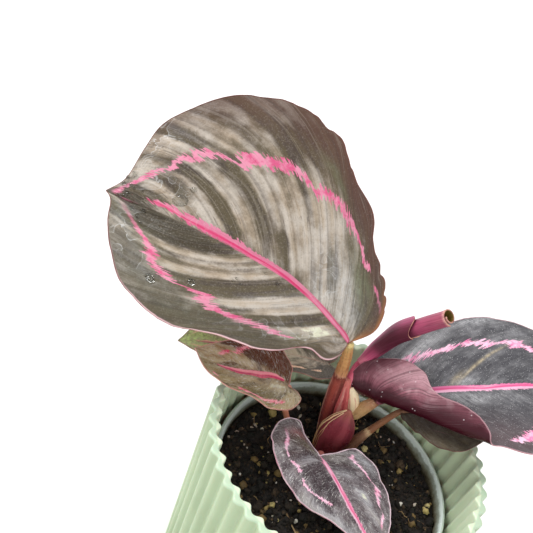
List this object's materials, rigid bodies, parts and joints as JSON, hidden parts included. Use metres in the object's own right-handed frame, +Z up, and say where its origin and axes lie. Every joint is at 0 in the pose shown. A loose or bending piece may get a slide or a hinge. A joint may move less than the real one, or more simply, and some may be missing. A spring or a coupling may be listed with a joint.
{
  "type": "potted calathea plant",
  "caption": "Potted foliage plant with broad dark leaves on short red stalks and one rolled young leaf, in a clear nursery pot inside a ribbed round cover pot.",
  "frame": {"origin": "centre of the flat underside of the cover pot", "axes": "+Z up along the pots' shared centre line, -Y towards the side the plant is seen from, the big leaf towards -X"},
  "size_m": [0.1988, 0.1316, 0.1707],
  "materials": {
    "cover_pot": "satin",
    "nursery_pot": "gloss",
    "soil": "matte",
    "crown": "matte",
    "sheath": "satin",
    "stalk": "satin",
    "stalk_green": "satin",
    "rolled_leaf": "satin",
    "blade": "satin",
    "blade_red": "gloss",
    "blade_dark": "gloss"
  },
  "bodies": {
    "root": {"cover_pot": "cover_pot", "nursery_pot": "nursery_pot", "soil": "soil", "crown": "crown", "stem_sheath": "sheath", "main_stalk": "stalk", "right_stalk": "stalk", "left_stalk": "stalk", "front_stalk": "stalk", "lower_stalk": "stalk", "rear_stalk": "stalk_green", "rolled_leaf": "rolled_leaf", "main_leaf": "blade", "left_leaf": "blade_red", "front_leaf": "blade_dark", "right_leaf": "blade_dark", "lower_leaf": "blade", "rear_leaf": "blade"}
  },
  "joints": []
}
